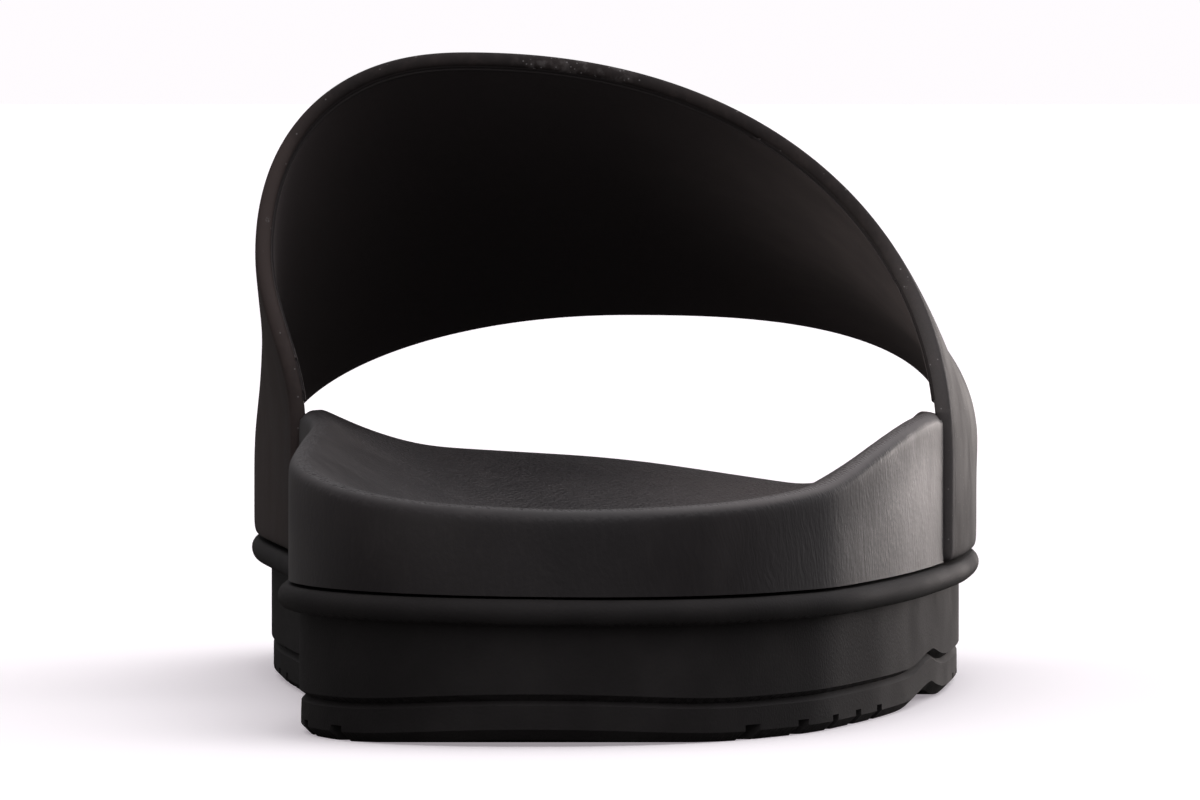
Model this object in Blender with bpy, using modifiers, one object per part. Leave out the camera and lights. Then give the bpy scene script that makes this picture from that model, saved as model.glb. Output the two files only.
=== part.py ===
"""Slide sandal for the right foot: outsole, contoured footbed and one moulded strap.

Heel to toe is +Y, the outer side of the foot is +X, and the ground is z = 0.
"""

from math import cos, pi, sin, radians

import bmesh
import bpy
from mathutils import Vector

# Overall sizes, in metres
FOOTBED_LENGTH = 0.277
FOOTBED_WIDTH = 0.1012  # across the ball of the foot
RIM_HEIGHT = 0.0405  # highest point of the footbed's rim, under the strap
INSTEP_HEIGHT = 0.0897  # top of the strap's rear edge
GAP = 0.0003  # between pieces that are bonded together

# Outsole
TOE_SPRING = 0.006
TOE_SPRING_START = 0.70  # share of the length where the toe starts to rise
HEEL_LIFT = 0.0014
HEEL_LIFT_END = 0.055
LEDGE_TILT = 0.013  # the ledge rises this much a unit towards the inner side
ARCH_LIFT = 0.0018  # the waist stands clear of the ground
ARCH_SPAN = (0.33, 0.46)
TREAD_HEIGHT = 0.0050
TREAD_INSET = 0.0017
TREAD_EDGE = 0.0012  # rounding at the ground
SEAM_DEPTH = 0.0007  # groove over the tread layer
WALL_INSET = 0.0014
LIP_REACH = 0.0015  # the rounded lip stands out past the footbed
LIP_HEIGHT = 0.0036
LIP_TURN = (-65, 90)  # degrees that the lip's round runs through, from under it to its top
LIP_STEPS = 6
GROOVE_WIDTH = 0.0030
GROOVE_DEPTH = 0.0020
GROOVE_BOW = 0.0045  # how far a groove's ends run ahead of its middle
GROOVE_BENDS = 8
HEEL_GROOVES = (0.07, 0.115, 0.16, 0.205, 0.25)
FOREFOOT_GROOVES = (0.53, 0.575, 0.62, 0.665, 0.71, 0.755, 0.80, 0.845)

# Footbed
RIM_ROUND = 0.0018  # radius of the rim's edge
RIM_TURN = 115  # degrees that the rounding turns, from the wall over the top
RIM_STEPS = 5
HEEL_FOCUS = 0.14  # the bowl's rings close in on a line between these shares
TOE_FOCUS = 0.80
RISE_POWER = 1.7  # how sharply the bowl turns up to its rim
BOWL_SHARES = (0.96, 0.91, 0.85, 0.78, 0.70, 0.61, 0.52, 0.41, 0.27, 0.10)

# Strap
STRAP_WALL = 0.0024
STRAP_PROUD = 0.0011  # how far the strap stands out from the footbed's wall
STRAP_EDGE_ROUND = 0.0009
STRAP_FOOT = (0.410, 0.807)  # rear and front edge at the lip
STRAP_TOP = (0.462, 0.752)  # rear and front edge over the instep
STRAP_STATIONS = 13
STRAP_POINTS = 57
LEAN_START = 0.43  # share of the instep height where the strap's sides begin to lean
LEAN_LIMIT = 0.6  # and at most this share of the way up a side
ARCH_STEPS = 40  # points worked out for each side and each quarter arch

# Outline
HEEL_ROUND = 0.145  # shares of the length taken by the rounded ends
TOE_ROUND = 0.27
HEEL_POWER = 2.2
TOE_POWER = 2.2
HEEL_STEPS = 9
MIDDLE_STEPS = 18
TOE_STEPS = 12
RECESS_RAMP = 0.005  # share of the length over which the strap's seat reaches its depth
MIDDLE = 0.5
SLOPE_STEP = 0.01  # share of the length over which the ground's slope is read


def table(columns, *rows):
    names = columns.split()
    return {name: [row[place] for row in rows] for place, name in enumerate(names)}


# Half widths before the ends are rounded, as shares of half the footbed's width
OUTLINE = table(
    "along medial lateral",
    (0.00, 0.848, 0.420),
    (0.08, 0.848, 0.492),
    (0.14, 0.848, 0.589),
    (0.24, 0.828, 0.732),
    (0.31, 0.812, 0.810),
    (0.41, 0.860, 0.899),
    (0.48, 0.905, 0.947),
    (0.61, 0.983, 0.998),
    (0.69, 1.005, 0.994),
    (0.77, 1.015, 0.965),
    (0.84, 1.040, 0.945),
    (0.92, 1.083, 0.900),
    (1.00, 1.126, 0.731),
)

# Heights as shares of the rim's height. The floor rises towards the inner side by the
# two tilts, and stays plain over the share of the half width called flat.
HEIGHTS = table(
    "along ledge floor medial lateral medial_tilt lateral_tilt flat",
    (0.00, 0.468, 0.640, 0.755, 0.750, 0.00, 0.00, 0.20),
    (0.08, 0.471, 0.628, 0.842, 0.779, 0.00, 0.00, 0.20),
    (0.15, 0.473, 0.622, 0.900, 0.822, 0.00, 0.00, 0.22),
    (0.24, 0.476, 0.675, 0.945, 0.916, 0.02, 0.06, 0.36),
    (0.32, 0.478, 0.755, 0.978, 0.968, 0.05, 0.12, 0.52),
    (0.41, 0.480, 0.826, 0.992, 0.986, 0.06, 0.15, 0.61),
    (0.50, 0.480, 0.780, 0.955, 0.950, 0.05, 0.13, 0.55),
    (0.62, 0.478, 0.670, 0.850, 0.840, 0.03, 0.05, 0.45),
    (0.78, 0.468, 0.575, 0.730, 0.722, 0.00, 0.00, 0.40),
    (0.90, 0.455, 0.530, 0.642, 0.630, 0.00, 0.00, 0.40),
    (1.00, 0.442, 0.520, 0.590, 0.590, 0.00, 0.00, 0.40),
)

# Sections of the strap's outer face, rear to front. Across and lean are shares of half
# the footbed's width, heights are shares of the instep height, and the powers are those
# of the two quarter arches that meet at the peak.
ARCHES = table(
    "along peak top medial_lean medial_up medial_power lateral_lean lateral_up lateral_power",
    (0.00, -0.415, 1.000, 0.102, 0.690, 2.27, 0.000, 0.375, 2.18),
    (0.50, -0.257, 0.797, -0.012, 0.520, 2.05, 0.000, 0.375, 2.00),
    (1.00, 0.040, 0.594, 0.000, 0.340, 2.00, 0.056, 0.365, 2.64),
)


def follow(curves, name, at):
    """Read one column of a table along a smooth curve through its rows."""
    places = curves["along"]
    values = curves[name]
    at = min(max(at, places[0]), places[-1])
    row = max(i for i, place in enumerate(places[:-1]) if place <= at)

    def slope(i):
        before = max(i - 1, 0)
        after = min(i + 1, len(places) - 1)
        return (values[after] - values[before]) / (places[after] - places[before])

    span = places[row + 1] - places[row]
    t = (at - places[row]) / span
    start = (1 + 2 * t) * (1 - t) ** 2 * values[row] + t * (1 - t) ** 2 * slope(row) * span
    end = t * t * (3 - 2 * t) * values[row + 1] - t * t * (1 - t) * slope(row + 1) * span
    return start + end


def ease(share):
    share = min(max(share, 0.0), 1.0)
    return share * share * (3 - 2 * share)


def mix(start, end, share):
    return start + (end - start) * share


def y_of(along):
    return (along - MIDDLE) * FOOTBED_LENGTH


def along_of(y):
    return y / FOOTBED_LENGTH + MIDDLE


def roundness(along):
    """Share of the full width left at the heel's and the toe's rounded ends."""
    heel = min(along / HEEL_ROUND, 1.0)
    toe = min((1.0 - along) / TOE_ROUND, 1.0)
    heel_share = (1.0 - (1.0 - heel) ** HEEL_POWER) ** (1 / HEEL_POWER)
    toe_share = (1.0 - (1.0 - toe) ** TOE_POWER) ** (1 / TOE_POWER)
    return heel_share * toe_share


def side_x(along, side):
    """X of the footbed's wall; side is -1 for the inner side and 1 for the outer."""
    medial = follow(OUTLINE, "medial", along)
    lateral = follow(OUTLINE, "lateral", along)
    centre = (lateral - medial) / 2
    half = (lateral + medial) / 2
    return (centre + side * half * roundness(along)) * FOOTBED_WIDTH / 2


def height(name, along):
    return follow(HEIGHTS, name, along) * RIM_HEIGHT


def ledge(along, x):
    """Top of the outsole, where the footbed and the strap's ends are bonded."""
    return height("ledge", along) - LEDGE_TILT * x


def ground(along):
    """Height of the sole's bottom: flat pads, a lifted waist, toe spring and heel lift."""
    toe = max(along - TOE_SPRING_START, 0.0) / (1.0 - TOE_SPRING_START)
    heel = max(HEEL_LIFT_END - along, 0.0) / HEEL_LIFT_END
    middle = (along - ARCH_SPAN[0]) / (ARCH_SPAN[1] - ARCH_SPAN[0])
    waist = sin(pi * min(max(middle, 0.0), 1.0)) ** 2
    return TOE_SPRING * toe * toe + HEEL_LIFT * heel * heel + ARCH_LIFT * waist


def stations():
    """Shares of the length where the outline has a point, closer together at its ends."""
    heel = [HEEL_ROUND * (1 - cos(pi / 2 * i / HEEL_STEPS)) for i in range(HEEL_STEPS)]
    last = 1.0 - TOE_ROUND
    middle = [mix(HEEL_ROUND, last, i / MIDDLE_STEPS) for i in range(MIDDLE_STEPS)]
    toe = [last + TOE_ROUND * sin(pi / 2 * i / TOE_STEPS) for i in range(TOE_STEPS + 1)]
    steps = [
        STRAP_FOOT[0] - RECESS_RAMP,
        STRAP_FOOT[0],
        STRAP_FOOT[1],
        STRAP_FOOT[1] + RECESS_RAMP,
    ]
    room = RECESS_RAMP * 0.8
    kept = []
    for place in heel + middle + toe:
        if all(abs(place - step) > room for step in steps):
            kept.append(place)
    clearance = GAP / FOOTBED_LENGTH
    steps = [place - clearance if place < MIDDLE else place + clearance for place in steps]
    return sorted(kept + steps)


def recess(along):
    """Depth of the seat that takes the strap's ends in the footbed's wall."""
    depth = STRAP_WALL - STRAP_PROUD + GAP
    clearance = GAP / FOOTBED_LENGTH
    rear = (along - STRAP_FOOT[0] + clearance) / RECESS_RAMP + 1.0
    front = (STRAP_FOOT[1] + clearance - along) / RECESS_RAMP + 1.0
    return depth * min(max(min(rear, front), 0.0), 1.0)


PLACES = stations()
SIDES = [0] + [1] * (len(PLACES) - 2) + [0] + [-1] * (len(PLACES) - 2)
LOOP = PLACES + PLACES[-2:0:-1]


def ring(inset, height_at, seated=False):
    """One closed loop round the sole: the outline moved inwards, at a height."""
    edge = [Vector((side_x(a, s), y_of(a), 0.0)) for a, s in zip(LOOP, SIDES)]
    points = []
    for i, point in enumerate(edge):
        run = edge[(i + 1) % len(edge)] - edge[i - 1]
        inwards = Vector((-run.y, run.x, 0.0)).normalized()
        depth = inset + (recess(LOOP[i]) if seated else 0.0)
        moved = point + inwards * depth
        moved.z = height_at(along_of(moved.y), moved.x, SIDES[i])
        points.append(moved)
    return points


def loft(rings):
    """Skin between rings, closed by a ladder of faces from side to side at both ends."""
    mesh = bmesh.new()
    loops = [[mesh.verts.new(point) for point in points] for points in rings]
    count = len(LOOP)
    for lower, upper in zip(loops, loops[1:]):
        for i in range(count):
            after = (i + 1) % count
            mesh.faces.new((lower[i], lower[after], upper[after], upper[i]))
    half = count // 2
    for loop in (loops[0], loops[-1]):
        mesh.faces.new((loop[0], loop[1], loop[-1]))
        mesh.faces.new((loop[half - 1], loop[half], loop[half + 1]))
        for i in range(1, half - 1):
            mesh.faces.new((loop[i], loop[i + 1], loop[count - i - 1], loop[count - i]))
    bmesh.ops.recalc_face_normals(mesh, faces=mesh.faces)
    return mesh


def material(name, colour, roughness):
    made = bpy.data.materials.new(name)
    made.use_nodes = True
    shader = made.node_tree.nodes["Principled BSDF"]
    shader.inputs["Base Color"].default_value = (*colour, 1.0)
    shader.inputs["Roughness"].default_value = roughness
    shader.inputs["Metallic"].default_value = 0.0
    return made


def add(name, mesh, collection, look=None):
    data = bpy.data.meshes.new(name)
    mesh.to_mesh(data)
    mesh.free()
    made = bpy.data.objects.new(name, data)
    collection.objects.link(made)
    if look:
        data.materials.append(look)
        data.shade_smooth()
        data.set_sharp_from_angle(angle=radians(40))
    return made


def groove(name, along, bow, collection):
    """A bowed bar that cuts one groove across the tread."""
    length = FOOTBED_WIDTH + 4 * LIP_REACH
    mesh = bmesh.new()
    bmesh.ops.create_grid(mesh, x_segments=GROOVE_BENDS, y_segments=1, size=0.5)
    for vert in mesh.verts:
        ahead = bow * (2 * vert.co.x) ** 2
        vert.co = (vert.co.x * length, vert.co.y * GROOVE_WIDTH + ahead, -GROOVE_DEPTH)
    lifted = bmesh.ops.extrude_face_region(mesh, geom=mesh.faces[:])["geom"]
    top = [item for item in lifted if isinstance(item, bmesh.types.BMVert)]
    bmesh.ops.translate(mesh, verts=top, vec=(0.0, 0.0, 2 * GROOVE_DEPTH))
    bmesh.ops.recalc_face_normals(mesh, faces=mesh.faces)
    cutter = add(name, mesh, collection)
    rise = ground(along + SLOPE_STEP) - ground(along - SLOPE_STEP)
    cutter.rotation_euler.x = rise / (2 * SLOPE_STEP * FOOTBED_LENGTH)
    cutter.location = (0.0, y_of(along), ground(along))
    cutter.hide_render = True
    cutter.display_type = "WIRE"
    return cutter


def build_outsole(parts, cutters):
    def over_ground(up):
        return lambda along, x, side: ground(along) + up

    def under_ledge(down):
        return lambda along, x, side: ledge(along, x) - down

    rings = [
        ring(TREAD_INSET + TREAD_EDGE, over_ground(0.0)),
        ring(TREAD_INSET, over_ground(TREAD_EDGE)),
        ring(TREAD_INSET, over_ground(TREAD_HEIGHT - SEAM_DEPTH)),
        ring(TREAD_INSET + SEAM_DEPTH, over_ground(TREAD_HEIGHT)),
        ring(WALL_INSET, over_ground(TREAD_HEIGHT + SEAM_DEPTH)),
        ring(WALL_INSET, under_ledge(LIP_HEIGHT)),
    ]
    radius = LIP_HEIGHT / 2
    for i in range(LIP_STEPS + 1):
        turn = radians(mix(LIP_TURN[0], LIP_TURN[1], i / LIP_STEPS))
        out = LIP_REACH - radius + radius * cos(turn)
        rings.append(ring(-out, under_ledge(radius - radius * sin(turn))))
    rubber = material("outsole_rubber", (0.022, 0.021, 0.021), 0.62)
    outsole = add("outsole", loft(rings), parts, rubber)
    bars = [(along, -GROOVE_BOW) for along in HEEL_GROOVES]
    bars += [(along, GROOVE_BOW) for along in FOREFOOT_GROOVES]
    for number, (along, bow) in enumerate(bars):
        cut = outsole.modifiers.new(f"groove_{number}", "BOOLEAN")
        cut.operation = "DIFFERENCE"
        cut.object = groove(f"groove_{number}", along, bow, cutters)


def spine(y):
    """The line down the middle of the footbed that the bowl's rings close in on."""
    along = min(max(along_of(y), HEEL_FOCUS), TOE_FOCUS)
    return Vector(((side_x(along, -1) + side_x(along, 1)) / 2, y_of(along), 0.0))


def rim(along, side):
    rims = (height("medial", along), height("lateral", along))
    return mix(rims[0], rims[1], (side + 1) / 2)


def bowl_point(crest, share):
    """A point of the footbed's top, a share of the way out from the spine to the crest."""
    middle = spine(crest.y)
    x = mix(middle.x, crest.x, share)
    y = mix(middle.y, crest.y, share)
    along = along_of(y)
    inner_side = crest.x < middle.x
    tilt = follow(HEIGHTS, "medial_tilt" if inner_side else "lateral_tilt", along)
    flat = follow(HEIGHTS, "flat", along)
    rise = (max(share - flat, 0.0) / (1.0 - flat)) ** RISE_POWER
    top = crest.z - rim(along_of(crest.y), 0) + rim(along, 0)
    floor = height("floor", along) - tilt * (x - middle.x)
    edge = height("floor", along) - tilt * (crest.x - middle.x)
    return Vector((x, y, floor + (top - edge) * rise))


def build_footbed(parts):
    def bottom(along, x, side):
        return ledge(along, x) + GAP

    def below_rim(down):
        return lambda along, x, side: rim(along, side) - down

    rings = [ring(0.0, bottom, True)]
    for i in range(RIM_STEPS + 1):
        turn = radians(RIM_TURN) * i / RIM_STEPS
        down = RIM_ROUND * (1 - sin(turn))
        rings.append(ring(RIM_ROUND * (1 - cos(turn)), below_rim(down), True))
    crest = rings[-1]
    for share in BOWL_SHARES:
        rings.append([bowl_point(point, share) for point in crest])
    foam = material("footbed_foam", (0.030, 0.028, 0.029), 0.55)
    add("footbed", loft(rings), parts, foam)


def side_of_arch(share, side, foot_x, foot_z):
    """Points of one side of a strap section, from its foot on the lip up to the peak."""
    name = "medial" if side < 0 else "lateral"
    half = FOOTBED_WIDTH / 2
    spring_x = foot_x + side * follow(ARCHES, name + "_lean", share) * half
    spring_z = follow(ARCHES, name + "_up", share) * INSTEP_HEIGHT
    power = follow(ARCHES, name + "_power", share)
    peak_x = follow(ARCHES, "peak", share) * half
    peak_z = follow(ARCHES, "top", share) * INSTEP_HEIGHT
    lean_from = min(LEAN_START * INSTEP_HEIGHT, mix(foot_z, spring_z, LEAN_LIMIT))
    points = []
    for i in range(ARCH_STEPS):
        z = mix(foot_z, spring_z, i / ARCH_STEPS)
        lean = ease((z - lean_from) / (spring_z - lean_from))
        points.append((mix(foot_x, spring_x, lean), z))
    for i in range(ARCH_STEPS + 1):
        turn = pi / 2 * i / ARCH_STEPS
        x = mix(peak_x, spring_x, cos(turn) ** (2 / power))
        points.append((x, mix(spring_z, peak_z, sin(turn) ** (2 / power))))
    return points


def evenly(points, count):
    """The same line with its points spread evenly."""
    reach = [0.0]
    for before, after in zip(points, points[1:]):
        run = ((after[0] - before[0]) ** 2 + (after[1] - before[1]) ** 2) ** 0.5
        reach.append(reach[-1] + run)
    spread = []
    place = 0
    for i in range(count):
        target = reach[-1] * i / (count - 1)
        while place < len(reach) - 2 and reach[place + 1] < target:
            place += 1
        t = (target - reach[place]) / (reach[place + 1] - reach[place])
        before = points[place]
        after = points[place + 1]
        spread.append((mix(before[0], after[0], t), mix(before[1], after[1], t)))
    return spread


def strap_section(share):
    """One section of the strap's outer face, from the inner foot over to the outer."""
    along = mix(STRAP_FOOT[0], STRAP_FOOT[1], share)
    sides = []
    for side in (-1, 1):
        foot_x = side_x(along, side) + side * STRAP_PROUD
        sides.append(side_of_arch(share, side, foot_x, ledge(along, foot_x) + GAP))
    line = evenly(sides[0] + sides[1][-2::-1], STRAP_POINTS)
    peak = follow(ARCHES, "top", share) * INSTEP_HEIGHT
    points = []
    for x, z in line:
        rise = max(z - rim(along, 0), 0.0) / (peak - rim(along, 0))
        rear = mix(STRAP_FOOT[0], STRAP_TOP[0], ease(rise))
        front = mix(STRAP_FOOT[1], STRAP_TOP[1], ease(rise))
        points.append(Vector((x, y_of(mix(rear, front, share)), z)))
    return points


def build_strap(parts):
    mesh = bmesh.new()
    rows = []
    for i in range(STRAP_STATIONS):
        section = strap_section(i / (STRAP_STATIONS - 1))
        rows.append([mesh.verts.new(point) for point in section])
    for rear, front in zip(rows, rows[1:]):
        for i in range(STRAP_POINTS - 1):
            mesh.faces.new((rear[i], rear[i + 1], front[i + 1], front[i]))
    coating = material("strap_coating", (0.020, 0.018, 0.018), 0.50)
    strap = add("strap", mesh, parts, coating)
    wall = strap.modifiers.new("wall", "SOLIDIFY")
    wall.thickness = STRAP_WALL
    wall.offset = -1.0
    wall.use_even_offset = True
    edge = strap.modifiers.new("rounded edge", "BEVEL")
    edge.width = STRAP_EDGE_ROUND
    edge.segments = 2
    edge.limit_method = "ANGLE"
    edge.angle_limit = radians(50)


for old in list(bpy.data.objects):
    bpy.data.objects.remove(old)
parts = bpy.data.collections.new("slide_sandal")
cutters = bpy.data.collections.new("cutters")
for made in (parts, cutters):
    bpy.context.scene.collection.children.link(made)
build_outsole(parts, cutters)
build_footbed(parts)
build_strap(parts)
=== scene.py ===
from math import radians

import bpy
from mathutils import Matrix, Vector


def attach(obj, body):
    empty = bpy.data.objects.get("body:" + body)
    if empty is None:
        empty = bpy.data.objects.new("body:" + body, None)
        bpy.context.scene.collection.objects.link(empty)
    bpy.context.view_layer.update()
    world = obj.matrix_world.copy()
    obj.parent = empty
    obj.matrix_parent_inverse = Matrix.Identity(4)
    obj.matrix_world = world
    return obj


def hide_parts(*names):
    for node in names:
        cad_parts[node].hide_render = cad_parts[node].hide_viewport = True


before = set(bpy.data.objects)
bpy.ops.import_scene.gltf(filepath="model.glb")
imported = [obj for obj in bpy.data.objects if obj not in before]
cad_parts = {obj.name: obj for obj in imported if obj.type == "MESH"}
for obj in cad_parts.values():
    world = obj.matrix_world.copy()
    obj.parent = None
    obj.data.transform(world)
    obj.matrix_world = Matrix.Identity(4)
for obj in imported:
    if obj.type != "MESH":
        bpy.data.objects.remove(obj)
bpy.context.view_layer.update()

camera = {
    "place": (0.0, -1.6385, 0.0865),  # behind the heel, just under the strap's top
    "dip": 1.60,  # degrees below level
    "turn": 0.07,  # degrees to the left
    "lens": 352.0,
    "sensor": 36.0,
    "nearest": 0.05,
    "farthest": 80.0,
}

floor = {
    "size": 60.0,
    "colour": (0.86, 0.855, 0.86),
    "bounce": (0.16, 0.155, 0.15),  # what the floor throws back at the shoe
    "glow": (0.30, 0.275, 0.295),  # lifts the far floor to the backdrop's white
    "roughness": 0.9,
}

# Light all round the shoe; pairs say where a share begins and where it is full, by direction
studio = {
    "backdrop": (1.0, 0.970, 0.995),
    "allRound": 0.07,
    "leftShare": 0.16,  # what is left of the overhead and back light on the inner side
    "overhead": 1.60,
    "overheadUp": (0.1, 1.0),
    "overheadAcross": (-0.9, 0.3),
    "behind": 0.80,  # the lit backdrop past the toe
    "behindAhead": (0.2, 0.95),
    "behindAcross": (-0.25, 0.3),
    "behindFade": (0.12, 0.55),  # upwards
    "fill": 0.34,  # dim light from the camera's side
    "fillBack": (0.35, 0.95),
    "keyPlace": (0.54, 1.62, 0.10),  # a low softbox that grazes the outer heel wall
    "keyAim": (0.03, -0.03, 0.04),
    "keySize": (0.50, 0.18),
    "keyPower": 4.8,
    "keyColour": (1.0, 0.905, 0.870),
    "snootPlace": (-0.195, -0.335, 0.069),  # a small warm light on the strap's inner face
    "snootAim": (0.045, 0.012, 0.044),
    "snootSize": 0.05,
    "snootSpread": 7.0,  # degrees
    "snootPower": 0.0028,
    "snootColour": (1.0, 0.95, 0.92),
}


def addCamera():
    turn = (radians(90.0 - camera["dip"]), 0.0, radians(camera["turn"]))
    bpy.ops.object.camera_add(location=camera["place"], rotation=turn)
    made = bpy.context.object
    made.name = "camera"
    made.data.lens = camera["lens"]
    made.data.sensor_width = camera["sensor"]
    made.data.clip_start = camera["nearest"]
    made.data.clip_end = camera["farthest"]
    bpy.context.scene.camera = made


# Sums on shader values: each operator adds its own Math node
class Amount:
    def __init__(self, finish, socket):
        self.finish = finish
        self.socket = socket

    def maths(self, operation, *values):
        settings = {"operation": operation}
        return self.finish.node("ShaderNodeMath", settings, dict(enumerate(values)))

    def __add__(self, other):
        return self.maths("ADD", self, other)

    def __sub__(self, other):
        return self.maths("SUBTRACT", self, other)

    def __rsub__(self, other):
        return self.maths("SUBTRACT", other, self)

    def __mul__(self, other):
        return self.maths("MULTIPLY", self, other)

    __radd__ = __add__
    __rmul__ = __mul__

    def between(self, low, high):  # 0 at low, 1 at high, with soft ends
        settings = {"interpolation_type": "SMOOTHSTEP"}
        inputs = {"Value": self, 1: low, 2: high}
        return self.finish.node("ShaderNodeMapRange", settings, inputs)

    def wave(self):
        return self.maths("SINE", self)

    def atMostOne(self):
        return self.maths("MINIMUM", self, 1.0)


def opaque(colour):
    return colour if isinstance(colour, Amount) else (*colour, 1.0)


# One material's or the backdrop's nodes; sizes of noise and cells are counts in a metre
class Finish:
    def __init__(self, tree):
        self.tree = tree

    def node(self, kind, settings=None, inputs=None, out=0):
        made = self.tree.nodes.new(kind)
        for setting, value in (settings or {}).items():
            setattr(made, setting, value)
        for name, value in (inputs or {}).items():
            if isinstance(value, Amount):
                self.tree.links.new(value.socket, made.inputs[name])
            else:
                made.inputs[name].default_value = value
        return Amount(self, made.outputs[out])

    def place(self):
        return self.node("ShaderNodeTexCoord", out="Object")

    def stretched(self, scale):
        return self.node("ShaderNodeMapping", None, {"Vector": self.place(), "Scale": scale})

    def split(self, vector):
        inputs = {"Vector": vector}
        return [self.node("ShaderNodeSeparateXYZ", None, inputs, axis) for axis in "XYZ"]

    def joined(self, x, y, z):
        return self.node("ShaderNodeCombineXYZ", None, {0: x, 1: y, 2: z})

    def away(self, point):  # distance from a point of the piece
        settings = {"operation": "DISTANCE"}
        return self.node("ShaderNodeVectorMath", settings, {0: self.place(), 1: point}, "Value")

    def noise(self, vector, size, detail=2.0):
        inputs = {"Vector": vector, "Scale": size, "Detail": detail}
        return self.node("ShaderNodeTexNoise", None, inputs)

    def patchy(self, vector, size, low, high):  # soft-edged patches, from 0 to 1
        return self.noise(vector, size, detail=4.0).between(low, high)

    def cells(self, vector, size, feature="F1", out="Distance"):
        settings = {"feature": feature}
        return self.node("ShaderNodeTexVoronoi", settings, {"Vector": vector, "Scale": size}, out)

    def lot(self, vector, size):  # one random number for each cell
        colour = self.cells(vector, size, out="Color")
        return self.node("ShaderNodeSeparateColor", None, {"Color": colour}, "Red")

    def facing(self, axis):
        normal = self.node("ShaderNodeNewGeometry", out="Normal")
        return self.node("ShaderNodeSeparateXYZ", None, {"Vector": normal}, axis)

    def blend(self, share, first, second):
        inputs = {0: share, 6: opaque(first), 7: opaque(second)}
        return self.node("ShaderNodeMix", {"data_type": "RGBA"}, inputs, 2)

    def bump(self, height):  # the height is in metres
        inputs = {"Height": height, "Strength": 1.0, "Distance": 1.0}
        return self.node("ShaderNodeBump", None, inputs, "Normal")


def newFinish(name, sockets):
    made = bpy.data.materials.new(name)
    made.use_nodes = True
    finish = Finish(made.node_tree)
    shader = made.node_tree.nodes["Principled BSDF"]
    for socket, value in sockets(finish).items():
        if isinstance(value, Amount):
            made.node_tree.links.new(value.socket, shader.inputs[socket])
        else:
            shader.inputs[socket].default_value = value
    return made


def addLamp(name, rows):
    place = Vector(studio[rows + "Place"])
    turn = (Vector(studio[rows + "Aim"]) - place).to_track_quat("-Z", "Y").to_euler()
    bpy.ops.object.light_add(type="AREA", location=place, rotation=turn)
    made = bpy.context.object
    made.name = name
    made.visible_camera = False
    made.data.energy = studio[rows + "Power"]
    made.data.color = studio[rows + "Colour"]
    return made.data


# 1 on the outer side, down to the left share on the inner side
def sideShare(across, rows):
    return studio["leftShare"] + across.between(*studio[rows]) * (1 - studio["leftShare"])


def addStudio():
    world = bpy.data.worlds.new("studio")
    world.use_nodes = True
    bpy.context.scene.world = world
    finish = Finish(world.node_tree)
    background = world.node_tree.nodes["Background"]
    way = finish.node("ShaderNodeTexCoord", out="Generated")
    across, ahead, up = finish.split(way)
    share = sideShare(across, "overheadAcross")
    light = studio["allRound"] + up.between(*studio["overheadUp"]) * share * studio["overhead"]
    share = sideShare(across, "behindAcross") * (1 - up.between(*studio["behindFade"]))
    light = light + ahead.between(*studio["behindAhead"]) * share * studio["behind"]
    light = light + (ahead * -1).between(*studio["fillBack"]) * studio["fill"]
    seen = finish.node("ShaderNodeLightPath", out="Is Camera Ray")
    strength = seen + (1 - seen) * light
    world.node_tree.links.new(strength.socket, background.inputs["Strength"])
    background.inputs["Color"].default_value = opaque(studio["backdrop"])

    key = addLamp("side softbox", "key")
    key.shape = "RECTANGLE"
    key.size, key.size_y = studio["keySize"]
    snoot = addLamp("snoot", "snoot")
    snoot.size = studio["snootSize"]
    snoot.spread = radians(studio["snootSpread"])


def floorFinish(finish):
    seen = finish.node("ShaderNodeLightPath", out="Is Camera Ray")
    return {
        "Base Color": finish.blend(seen, floor["bounce"], floor["colour"]),
        "Emission Color": finish.blend(seen, (0, 0, 0), floor["glow"]),
        "Emission Strength": 1.0,
        "Roughness": floor["roughness"],
        "Specular IOR Level": 0.0,
    }


def addFloor():
    bpy.ops.mesh.primitive_plane_add(size=floor["size"], location=(0.0, 0.0, 0.0))
    made = bpy.context.object
    made.name = "floor"
    made.data.materials.append(newFinish("pale floor", floorFinish))


skin = {
    "merge": 1e-6,
    "flat": 50,  # degrees: triangles nearer than this to one plane become a face of four sides
    "square": 70,  # degrees that such a face's corners may be off a right angle
    "tallWall": 0.006,  # upright edges longer than this get rings
    "upright": 0.9,
    "wallRings": 3,
}


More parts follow.
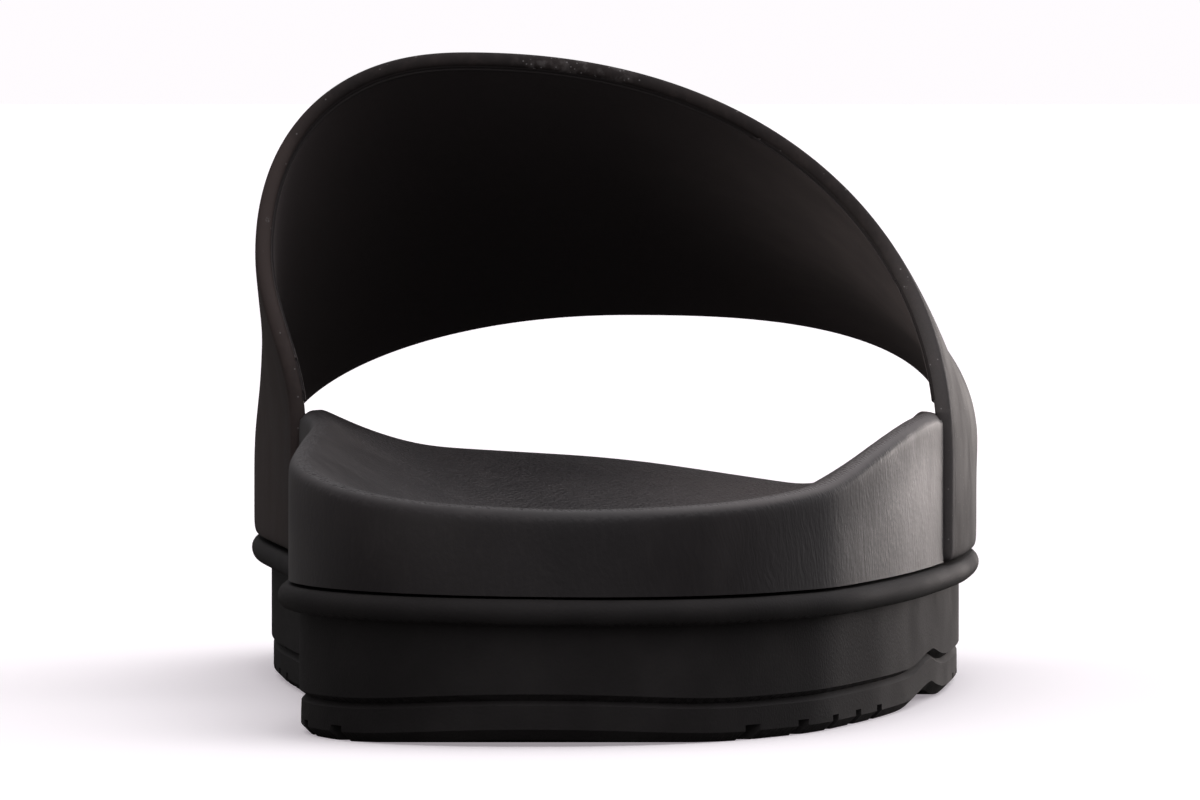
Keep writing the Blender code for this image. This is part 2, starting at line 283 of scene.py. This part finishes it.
# A copy of a CAD node, merged back into quads and smoothed; creases keep its hard edges
def smoothCopy(node, name, levels, sharp):
    made = bpy.data.objects.new(name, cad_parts[node].data.copy())
    bpy.context.scene.collection.objects.link(made)
    made.data.materials.clear()
    bpy.ops.object.select_all(action="DESELECT")
    bpy.context.view_layer.objects.active = made
    made.select_set(True)
    bpy.ops.mesh.customdata_custom_splitnormals_clear()
    bpy.ops.object.mode_set(mode="EDIT")
    bpy.ops.mesh.select_mode(type="EDGE")
    bpy.ops.mesh.select_all(action="SELECT")
    bpy.ops.mesh.remove_doubles(threshold=skin["merge"])
    flat, square = radians(skin["flat"]), radians(skin["square"])
    bpy.ops.mesh.tris_convert_to_quads(face_threshold=flat, shape_threshold=square)
    bpy.ops.mesh.select_all(action="DESELECT")
    bpy.ops.mesh.edges_select_sharp(sharpness=radians(sharp))
    bpy.ops.transform.edge_crease(value=1.0)
    bpy.ops.mesh.select_all(action="DESELECT")
    bpy.ops.object.mode_set(mode="OBJECT")
    points = made.data.vertices
    for edge in made.data.edges:  # rings round the upright faces keep the rounding at the rim
        run = points[edge.vertices[1]].co - points[edge.vertices[0]].co
        rise = abs(run.z)
        edge.select = rise > skin["tallWall"] and rise > skin["upright"] * run.length
    bpy.ops.object.mode_set(mode="EDIT")
    bpy.ops.mesh.subdivide(number_cuts=skin["wallRings"])
    bpy.ops.object.mode_set(mode="OBJECT")
    smooth = made.modifiers.new("smooth", "SUBSURF")
    smooth.levels = levels
    smooth.render_levels = levels
    bpy.ops.object.modifier_apply(modifier=smooth.name)
    bpy.ops.object.shade_smooth_by_angle(angle=radians(sharp))
    return made


def dress(made, finish):
    made.data.materials.clear()
    made.data.materials.append(finish)
    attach(made, "root")
    print("dressed", made.name, len(made.data.polygons), "faces")


footbed = {
    "levels": 2,
    "sharp": 46,  # degrees
    "colour": (0.0155, 0.0134, 0.0144),
    "lighterTone": (0.080, 0.070, 0.069),
    "roughness": 0.41,
    "specular": 0.34,
    "topTilt": (0.35, 0.8),  # how far up the surface faces, from the rim's edge to the top
    "edgeTilt": (0.05, 0.4),
    "grainTilt": (0.8, 0.98),
    "grain": 0.00038,  # height of the leather grain on the top
    "pebbles": 1900.0,
    "fine": (4500.0, 0.30),  # size and share of the height
    "hatch": (6100.0, 8200.0, 0.07),  # fine slanted lines: radians a metre, and share
    "hatchGaps": (160.0, 0.4, 0.7),
    "streak": 0.00005,  # height of the flow marks down the wall
    "streakSize": (1500.0, 230.0),  # round the wall and up it
    "streakBend": (150.0, 0.0034, 0.22),  # size of the bends, how far they go, and the slant
    "streakSide": (-0.01, 0.03, 0.2),  # they are stronger on the outer side: from, to, least
    "mottle": (1300.0, 0.00003, 0.00007),  # size, height on the wall and along the rim
    "rim": (0.0316, 0.0085, -0.115, -0.035),  # height at the heel, rise, and where along y
    "dulled": (-0.009, -0.001),  # handling has dulled the wall's upper part
    "outerTopLit": (-0.005, 0.028),  # painted light: the top is painted paler towards the outer side, where the light grazes it
    "patches": (60.0, 0.35, 0.7),  # size, and where the noise begins and is full
    "edgeClouds": (420.0, 0.45, 0.75),
    "topClouds": (420.0, 0.42, 0.68),
    "streakLines": (0.45, 0.75),
    "patchWear": 0.11,  # shares of the lighter tone; the outer top's share is painted light
    "edgeWear": 0.15,
    "streakWear": 0.05,
    "topWear": 0.06,
    "cloudWear": 0.10,
    "outerTopLitShare": 0.85,
    "patchRoughness": 0.08,
    "dulledRoughness": 0.07,
}


def leatherGrain(finish, place, x, y):
    size, share = footbed["fine"]
    fine = finish.noise(place, size) * share
    slantX, slantY, share = footbed["hatch"]
    gaps, low, high = footbed["hatchGaps"]
    hatch = (x * slantX + y * slantY).wave() * finish.noise(place, gaps).between(low, high)
    return finish.cells(place, footbed["pebbles"], "SMOOTH_F1") + fine + hatch * share


def flowMarks(finish, place, x, y, z):
    size, reach, slant = footbed["streakBend"]
    bend = finish.noise(place, size) * reach + z * slant
    around, up = footbed["streakSize"]
    return finish.noise(finish.joined((x + bend) * around, (y + bend) * around, z * up), 1.0)


def footbedFinish(finish):
    place = finish.place()
    x, y, z = finish.split(place)
    top = finish.facing("Z").between(*footbed["topTilt"])
    wall = 1 - top
    edge = finish.facing("Z").between(*footbed["edgeTilt"]) * wall

    streaks = flowMarks(finish, place, x, y, z)
    low, high, least = footbed["streakSide"]
    side = x.between(low, high) * (1 - least) + least
    size, onWall, onEdge = footbed["mottle"]
    mottle = finish.noise(place, size, detail=3.0)
    leather = finish.facing("Z").between(*footbed["grainTilt"]) * leatherGrain(finish, place, x, y)
    height = leather * footbed["grain"] + edge * mottle * onEdge
    height = height + wall * (streaks * side * footbed["streak"] + mottle * onWall)

    foot, rise, back, front = footbed["rim"]
    rimHeight = foot + y.between(back, front) * rise
    dulled = wall * (z - rimHeight).between(*footbed["dulled"])
    patches = finish.patchy(place, *footbed["patches"])
    lighterTone = patches * footbed["patchWear"]
    lighterTone = lighterTone + edge * finish.patchy(place, *footbed["edgeClouds"]) * footbed["edgeWear"]
    lighterTone = lighterTone + wall * streaks.between(*footbed["streakLines"]) * footbed["streakWear"]
    onTop = finish.patchy(place, *footbed["topClouds"]) * footbed["cloudWear"]
    # painted light: the top is painted paler towards its outer side
    onTop = onTop + x.between(*footbed["outerTopLit"]) * footbed["outerTopLitShare"] + footbed["topWear"]
    lighterTone = (lighterTone + top * onTop).atMostOne()
    roughness = footbed["roughness"] + patches * footbed["patchRoughness"]
    return {
        "Base Color": finish.blend(lighterTone, footbed["colour"], footbed["lighterTone"]),
        "Roughness": roughness + dulled * footbed["dulledRoughness"],
        "Specular IOR Level": footbed["specular"],
        "Normal": finish.bump(height),
    }


strap = {
    "levels": 2,
    "sharp": 60,
    "colour": (0.0140, 0.0124, 0.0127),
    "lighterTone": (0.060, 0.047, 0.044),
    "dust": (0.26, 0.25, 0.25),
    "roughness": 0.64,
    "specular": 0.12,
    "rearEdge": (-0.0249, 0.0144, 0.0402, 0.0897),  # y at the foot, run over the rise, heights
    "rim": (0.0016, 0.0030),  # the rear rim ends this far forward of that edge
    "dusty": (-0.015, 0.004),  # where along x the rim's dust gathers
    "dustyEnds": 0.004,
    "outerRim": (0.034, 0.047),  # along x, where the rim is paler: partly dust, partly painted light on the outer side
    "outerWall": (0.040, 0.046),
    "innerWall": (-0.050, -0.038),
    "specks": (2000.0, 0.14, 0.30),  # cells, and where in a cell a speck fades
    "specksChosen": (0.995, 1.0),
    "specksOnRim": (0.03, 0.45, 0.04),  # all along, more in the dusty place, more outside
    "specksOnWall": (0.006, 0.035),
    "smear": (0.5, 0.7, 0.18),
    "outerRimDustAndLight": (0.2, 0.1),
    "speckDust": 0.55,
    "marks": (  # single pale specks: place and radius
        ((-0.0478, -0.0172, 0.0662), 0.0005),
        ((-0.0482, -0.0170, 0.0645), 0.0004),
        ((0.0403, -0.0205, 0.0568), 0.0004),
        ((0.0454, -0.0235, 0.0425), 0.0005),
        ((0.0464, -0.0235, 0.0435), 0.0004),
    ),
    "markCore": 0.4,  # share of the radius where a mark is full
    "markGaps": (0.42, 0.6, 0.5),
    "fine": (4200.0, 0.00002),  # size and height
    "soft": (700.0, 0.00004),
    "streakBump": 0.00003,
    "streaks": (900.0, 900.0, 55.0),
    "streakLines": (0.5, 0.8),
    "patches": (90.0, 0.35, 0.7),
    "patchWear": 0.195,  # shares of the lighter tone; the rim's share is partly a painted highlight, the inner side's is painted light
    "streakWear": 0.13,
    "rimWearAndHighlight": (0.4, 0.75, 0.195, 0.1625),  # noise from and to, its share, and the least: partly wear, partly a painted highlight along the rounded rim
    # painted light: share of the lighter tone on the strap's inner side
    "innerSideLit": 0.95,
    "patchRoughness": 0.08,
}


def fromRim(finish):  # distance forward from the strap's rear edge
    y, z = finish.split(finish.place())[1:]
    foot, run, low, high = strap["rearEdge"]
    return y - foot - z.between(low, high) * run


def strapDust(finish, place, x, rim, fine, soft):
    low, high = strap["dusty"]
    ends = strap["dustyEnds"]
    cluster = rim * x.between(low, low + ends) * (1 - x.between(high - ends, high))
    outerRim = rim * x.between(*strap["outerRim"])
    least, clustered, outside = strap["specksOnRim"]  # shares of the cells that hold a speck
    onRim = rim * (least + cluster * clustered + outerRim * outside)
    least, outside = strap["specksOnWall"]
    onWall = (1 - rim) * (least + x.between(*strap["outerWall"]) * outside)
    size, middle, end = strap["specks"]
    chosen = (finish.lot(place, size) + onRim + onWall).between(*strap["specksChosen"])
    specks = (1 - finish.cells(place, size).between(middle, end)) * chosen
    marks = 0.0
    for point, radius in strap["marks"]:
        full = radius * strap["markCore"]
        marks = (1 - finish.away(point).between(full, radius)) + marks
    low, high, share = strap["markGaps"]
    marks = marks * fine.between(low, high) * share
    low, high, share = strap["smear"]
    smear = cluster * soft.between(low, high) * share
    # partly dust, partly painted light: an even pale tone along the outer rim
    least, uneven = strap["outerRimDustAndLight"]
    onOuterRim = outerRim * (least + fine * uneven)
    return (specks * strap["speckDust"] + smear + onOuterRim + marks).atMostOne()


def strapFinish(finish):
    place = finish.place()
    x = finish.split(place)[0]
    rim = 1 - fromRim(finish).between(*strap["rim"])
    size, fineBump = strap["fine"]
    fine = finish.noise(place, size, detail=3.0)
    size, softBump = strap["soft"]
    soft = finish.noise(place, size, detail=3.0)
    streaks = finish.noise(finish.stretched(strap["streaks"]), 1.0, detail=3.0)
    height = fine * fineBump + soft * softBump + streaks * strap["streakBump"]
    patches = finish.patchy(place, *strap["patches"])
    # painted light: the strap's inner side is painted paler, as if lit from that side
    inner = 1 - x.between(*strap["innerWall"])
    low, high, share, least = strap["rimWearAndHighlight"]
    # partly wear, partly a painted highlight: the rounded rear rim is painted paler all along
    lighterTone = patches * strap["patchWear"] + rim * (soft.between(low, high) * share + least)
    lighterTone = lighterTone + streaks.between(*strap["streakLines"]) * strap["streakWear"]
    lighterTone = (lighterTone + inner * strap["innerSideLit"]).atMostOne()
    colour = finish.blend(lighterTone, strap["colour"], strap["lighterTone"])
    dust = strapDust(finish, place, x, rim, fine, soft)
    return {
        "Base Color": finish.blend(dust, colour, strap["dust"]),
        "Roughness": strap["roughness"] + patches * strap["patchRoughness"],
        "Specular IOR Level": strap["specular"],
        "Normal": finish.bump(height),
    }


lining = {
    "axis": (-0.003, 0.030),  # x and z of the line that the tunnel runs round
    "inwards": 0.62,  # faces that look at that line less than this come off
    "margin": 0.0004,  # bare strip between it and the strap's rounded edge
    "thickness": 0.00040,
    "offset": 0.5556,  # a tenth of a millimetre is sunk in the strap
    "edge": 0.00016,
    "edgeSteps": 2,
    "edgeTurn": 50,  # degrees
    "sharp": 40,
    "footPoint": (0.0, -0.025, 0.0415),  # it ends just over the footbed's rim
    "footSlope": (0.0, 0.1045, 0.9945),
    "colour": (0.075, 0.066, 0.067),
    "lighterTone": (0.170, 0.147, 0.142),
    "cut": (0.030, 0.026, 0.026),  # painted shade: faces that look rearwards, the rear cut edge, are darkened to the strap's tone
    "cutTilt": (0.25, 0.7),
    "roughness": 0.78,
    "specular": 0.18,
    "outerWall": (-0.004, 0.042),  # painted light: paler towards the outer side and the rear, where light reaches in
    "depth": (0.040, 0.110, 0.6),
    "innerWall": (-0.046, -0.020),
    "weft": (500.0, 2600.0, 500.0),
    "weftBump": 0.00004,
    "fine": (3600.0, 0.00003),  # size and height
    "patches": (110.0, 0.3, 0.75),
    "outerRearLit": (0.65, 0.35),  # shares of the lighter tone; the outer and inner shares are painted light
    "innerSideLit": 0.35,
    "patchWear": 0.06,
    "patchRoughness": 0.08,
}


def liningFinish(finish):
    place = finish.place()
    x = finish.split(place)[0]
    size, fineBump = lining["fine"]
    fine = finish.noise(place, size, detail=3.0)
    weft = finish.noise(finish.stretched(lining["weft"]), 1.0)
    patches = finish.patchy(place, *lining["patches"])
    # painted light: a pool of light on the outer side near the rear edge, fading forwards
    rear, front, loss = lining["depth"]
    outer = x.between(*lining["outerWall"]) * (1 - fromRim(finish).between(rear, front) * loss)
    # painted light: the lining's inner side is painted paler, as if lit from that side
    inner = 1 - x.between(*lining["innerWall"])
    least, uneven = lining["outerRearLit"]
    lighterTone = outer * (least + patches * uneven) + patches * lining["patchWear"]
    lighterTone = (lighterTone + inner * lining["innerSideLit"]).atMostOne()
    colour = finish.blend(lighterTone, lining["colour"], lining["lighterTone"])
    # painted shade: faces looking rearwards are darkened
    cut = (finish.facing("Y") * -1).between(*lining["cutTilt"])
    return {
        "Base Color": finish.blend(cut, colour, lining["cut"]),
        "Roughness": lining["roughness"] + patches * lining["patchRoughness"],
        "Specular IOR Level": lining["specular"],
        "Normal": finish.bump(fine * fineBump + weft * lining["weftBump"]),
    }


# The strap's inner face lifted off as its own thin layer, a little short of every edge
def liningLayer():
    made = smoothCopy("strap", "strap_lining", strap["levels"], strap["sharp"])
    bpy.ops.object.mode_set(mode="EDIT")
    bpy.ops.mesh.select_mode(type="FACE")
    bpy.ops.mesh.select_all(action="DESELECT")
    bpy.ops.object.mode_set(mode="OBJECT")
    axisX, axisZ = lining["axis"]
    for face in made.data.polygons:
        inwards = Vector((axisX - face.center.x, 0.0, axisZ - face.center.z)).normalized()
        face.select = face.normal.dot(inwards) < lining["inwards"]
    bpy.ops.object.mode_set(mode="EDIT")
    bpy.ops.mesh.delete(type="FACE")
    bpy.ops.mesh.select_all(action="SELECT")
    margin = lining["margin"]
    bpy.ops.mesh.inset(thickness=margin, use_boundary=True, use_even_offset=True)
    bpy.ops.mesh.select_all(action="INVERT")
    bpy.ops.mesh.delete(type="FACE")
    bpy.ops.mesh.select_all(action="SELECT")
    point, slope = lining["footPoint"], lining["footSlope"]
    bpy.ops.mesh.bisect(plane_co=point, plane_no=slope, clear_inner=True)
    bpy.ops.object.mode_set(mode="OBJECT")
    wall = made.modifiers.new("thickness", "SOLIDIFY")
    wall.thickness = lining["thickness"]
    wall.offset = lining["offset"]
    rounding = made.modifiers.new("edge", "BEVEL")
    rounding.width = lining["edge"]
    rounding.segments = lining["edgeSteps"]
    rounding.angle_limit = radians(lining["edgeTurn"])
    for modifier in (wall, rounding):
        bpy.ops.object.modifier_apply(modifier=modifier.name)
    bpy.ops.object.shade_smooth_by_angle(angle=radians(lining["sharp"]))
    return made


outsole = {
    "levels": 1,
    "sharp": 34,
    "colour": (0.0165, 0.0150, 0.0152),
    "lighterTone": (0.026, 0.024, 0.024),
    "roughness": 0.70,
    "specular": 0.16,
    "fine": (2600.0, 0.00006),  # size and height
    "patches": (70.0, 0.35, 0.7),
    "patchRoughness": 0.1,
    "pitch": 2200.0,  # of the fine tread, radians a metre
    "tread": 0.0002,
    "treadShape": (-0.2, 0.4),
    "treadTilt": (0.6, 0.9),  # on what faces down alone
}


def outsoleFinish(finish):
    place = finish.place()
    x, y = finish.split(place)[:2]
    size, fineBump = outsole["fine"]
    fine = finish.noise(place, size, detail=3.0)
    patches = finish.patchy(place, *outsole["patches"])
    pitch = outsole["pitch"]
    diamonds = ((x + y) * pitch).wave() * ((x - y) * pitch).wave()
    down = (finish.facing("Z") * -1).between(*outsole["treadTilt"])
    tread = diamonds.between(*outsole["treadShape"]) * down
    return {
        "Base Color": finish.blend(patches, outsole["colour"], outsole["lighterTone"]),
        "Roughness": outsole["roughness"] + patches * outsole["patchRoughness"],
        "Specular IOR Level": outsole["specular"],
        "Normal": finish.bump(fine * fineBump + tread * outsole["tread"]),
    }


bpy.context.scene.view_settings.view_transform = "Standard"
addCamera()
addStudio()
addFloor()
print("studio ready")

footbedSkin = smoothCopy("footbed", "footbed_skin", footbed["levels"], footbed["sharp"])
dress(footbedSkin, newFinish("moulded foam", footbedFinish))
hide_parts("footbed")

strapSkin = smoothCopy("strap", "strap_skin", strap["levels"], strap["sharp"])
dress(strapSkin, newFinish("strap coating", strapFinish))
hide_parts("strap")

dress(liningLayer(), newFinish("strap lining", liningFinish))

outsoleSkin = smoothCopy("outsole", "outsole_skin", outsole["levels"], outsole["sharp"])
dress(outsoleSkin, newFinish("outsole rubber", outsoleFinish))
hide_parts("outsole")
